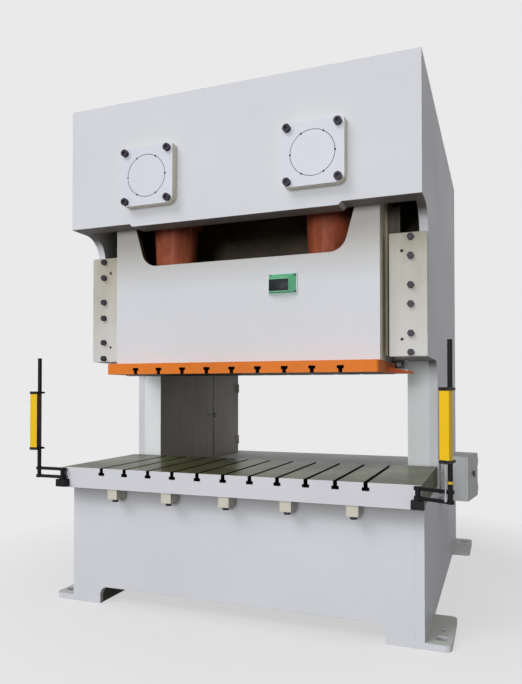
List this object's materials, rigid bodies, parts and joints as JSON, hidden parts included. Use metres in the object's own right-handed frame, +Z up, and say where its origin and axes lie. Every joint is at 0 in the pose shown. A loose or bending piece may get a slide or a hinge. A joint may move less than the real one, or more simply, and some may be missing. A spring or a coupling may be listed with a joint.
{
  "type": "mechanical stamping press",
  "caption": "Wide gap-frame mechanical press: two cranks drive a guided ram with a T-slotted face plate over a T-slotted bolster; swing-out light curtains at the front.",
  "frame": {"origin": "on the floor, in the middle of the four anchor holes", "axes": "+X to the right and +Y to the back as the operator sees the press, +Z up"},
  "size_m": [3.2137, 3.4406, 3.865],
  "materials": {
    "press_paint": "satin light grey enamel",
    "cover_paint": "satin pale grey enamel",
    "orange_paint": "satin orange enamel",
    "machined_steel": "ground and oiled",
    "red_paint": "red-brown rust primer",
    "cast_steel": "machined steel, lightly oiled",
    "bronze": "turned bearing bronze",
    "black_steel": "blackened bolt",
    "post_steel": "satin black enamel",
    "lock_steel": "plated steel",
    "belt_rubber": "matt rubber",
    "motor_paint": "satin blue-grey enamel",
    "sensor_yellow": "powder coat",
    "switch_black": "moulded housing",
    "display_green": "moulded bezel",
    "box_paint": "satin grey enamel",
    "cable_grey": "moulded cable jacket"
  },
  "bodies": {
    "frame": {"side_frame_left": "press_paint", "side_frame_right": "press_paint", "crown_front_plate": "press_paint", "crown_top_plate": "press_paint", "crown_inner_wall": "press_paint", "crown_rear_wall": "press_paint", "crown_floor_plate": "press_paint", "bed_front_plate": "press_paint", "bed_rear_plate": "press_paint", "bed_top_plate": "press_paint", "upright_left": "press_paint", "upright_right": "press_paint", "rear_guard": "press_paint", "bolster": "machined_steel", "bolster_bolts": "black_steel", "gib_plate_left": "press_paint", "gib_plate_right": "press_paint", "gib_bolts": "black_steel", "guide_posts": "press_paint", "guide_liners": "bronze", "crank_bushes": "bronze", "crank_covers": "cover_paint", "cover_bolts": "black_steel", "motor": "motor_paint", "drive_belts": "belt_rubber", "balance_cylinders": "press_paint", "limit_switch": "switch_black", "curtain_blocks": "black_steel", "box_bracket": "press_paint"},
    "ram": {"ram_body": "press_paint", "ram_plate": "orange_paint", "ball_seats": "cast_steel", "balance_rods": "machined_steel", "adjust_motor": "black_steel", "display_unit": "display_green"},
    "crank_left": {"crankshaft_left": "cast_steel", "crank_gear_left": "cast_steel"},
    "crank_right": {"crankshaft_right": "cast_steel", "crank_gear_right": "cast_steel"},
    "con_rod_left": {"rod_left": "red_paint", "rod_cap_left": "red_paint", "adjusting_screw_left": "machined_steel"},
    "con_rod_right": {"rod_right": "red_paint", "rod_cap_right": "red_paint", "adjusting_screw_right": "machined_steel"},
    "drive_shaft": {"drive_pinion_shaft": "cast_steel", "clutch_unit": "cast_steel"},
    "idler_shaft": {"idler_pinion_shaft": "cast_steel"},
    "flywheel_body": {"flywheel": "cast_steel"},
    "motor_rotor": {"motor_pulley": "cast_steel"},
    "arm_left": {"curtain_arm_left": "post_steel"},
    "sensor_left": {"curtain_sensor_left": "sensor_yellow"},
    "arm_right": {"curtain_arm_right": "post_steel"},
    "sensor_right": {"curtain_sensor_right": "sensor_yellow", "sensor_lead": "cable_grey"},
    "box": {"control_box": "box_paint"},
    "box_door": {"control_box_door": "box_paint"},
    "latch": {"door_latch": "switch_black"},
    "cabinet_leaf": {"cabinet_door": "press_paint"},
    "cabinet_key_lock": {"cabinet_lock": "lock_steel"}
  },
  "joints": [
    {"name": "ram_slide", "type": "slide", "parent": "frame", "child": "ram", "axis": [0, 0, -1], "range_m": [0, 0.28]},
    {"name": "crank_left_turn", "type": "hinge", "parent": "frame", "child": "crank_left", "pos_m": [-0.64, -1.17, 3.26], "axis": [0, 1, 0], "range_deg": [0, 180]},
    {"name": "crank_right_turn", "type": "hinge", "parent": "frame", "child": "crank_right", "pos_m": [0.64, -1.17, 3.26], "axis": [0, 1, 0], "range_deg": [-180, 0]},
    {"name": "rod_left_turn", "type": "hinge", "parent": "crank_left", "child": "con_rod_left", "pos_m": [-0.64, -1.17, 3.4], "axis": [0, 1, 0], "range_deg": [-180, 0]},
    {"name": "rod_right_turn", "type": "hinge", "parent": "crank_right", "child": "con_rod_right", "pos_m": [0.64, -1.17, 3.4], "axis": [0, 1, 0], "range_deg": [0, 180]},
    {"name": "drive_shaft_turn", "type": "hinge", "parent": "frame", "child": "drive_shaft", "pos_m": [-0.12, -0.5, 3.26], "axis": [0, 1, 0], "range_deg": [-600, 0]},
    {"name": "idler_shaft_turn", "type": "hinge", "parent": "frame", "child": "idler_shaft", "pos_m": [0.12, -0.5, 3.26], "axis": [0, 1, 0], "range_deg": [0, 600]},
    {"name": "flywheel_spin", "type": "hinge", "parent": "frame", "child": "flywheel_body", "pos_m": [-0.12, 0.14, 3.26], "axis": [0, 1, 0], "continuous": true},
    {"name": "motor_spin", "type": "hinge", "parent": "frame", "child": "motor_rotor", "pos_m": [0.76, 0.14, 2.25], "axis": [0, 1, 0], "continuous": true},
    {"name": "curtain_left_swing", "type": "hinge", "parent": "frame", "child": "arm_left", "pos_m": [-1.33, -1.72, 1.02], "axis": [0, 0, 1], "range_deg": [-26, 84]},
    {"name": "curtain_right_swing", "type": "hinge", "parent": "frame", "child": "arm_right", "pos_m": [1.33, -1.72, 1.02], "axis": [0, 0, 1], "range_deg": [-56, 49]},
    {"name": "sensor_left_slide", "type": "slide", "parent": "arm_left", "child": "sensor_left", "axis": [0, 0, 1], "range_m": [-0.13, 0.25]},
    {"name": "sensor_right_slide", "type": "slide", "parent": "arm_right", "child": "sensor_right", "axis": [0, 0, 1], "range_m": [-0.13, 0.25]},
    {"name": "box_swing", "type": "hinge", "parent": "frame", "child": "box", "pos_m": [1.374, -0.488, 0.96], "axis": [0, 0, 1], "range_deg": [-80, 9]},
    {"name": "box_door_swing", "type": "hinge", "parent": "box", "child": "box_door", "pos_m": [1.62517, -0.11672, 0.96], "axis": [0, 0, 1], "range_deg": [0, 110]},
    {"name": "box_latch_turn", "type": "hinge", "parent": "box_door", "child": "latch", "pos_m": [1.59357, -0.31623, 0.985], "axis": [0.9877, -0.1564, 0], "range_deg": [0, 90]},
    {"name": "cabinet_door_swing", "type": "hinge", "parent": "frame", "child": "cabinet_leaf", "pos_m": [-1.106, 1.266, 1.4], "axis": [0, 0, 1], "range_deg": [0, 110]},
    {"name": "cabinet_lock_turn", "type": "hinge", "parent": "cabinet_leaf", "child": "cabinet_key_lock", "pos_m": [-1.12, 0.613, 1.385], "axis": [1, 0, 0], "range_deg": [0, 90]}
  ],
  "couplings": [
    {"joint": "crank_left_turn", "follows": "ram_slide", "rad_per_m": 11.22},
    {"joint": "crank_right_turn", "follows": "ram_slide", "rad_per_m": -11.22},
    {"joint": "rod_left_turn", "follows": "ram_slide", "rad_per_m": -11.22},
    {"joint": "rod_right_turn", "follows": "ram_slide", "rad_per_m": 11.22},
    {"joint": "drive_shaft_turn", "follows": "ram_slide", "rad_per_m": -37.4},
    {"joint": "idler_shaft_turn", "follows": "ram_slide", "rad_per_m": 37.4},
    {"joint": "motor_spin", "follows": "flywheel_spin", "ratio": 3.8571}
  ]
}
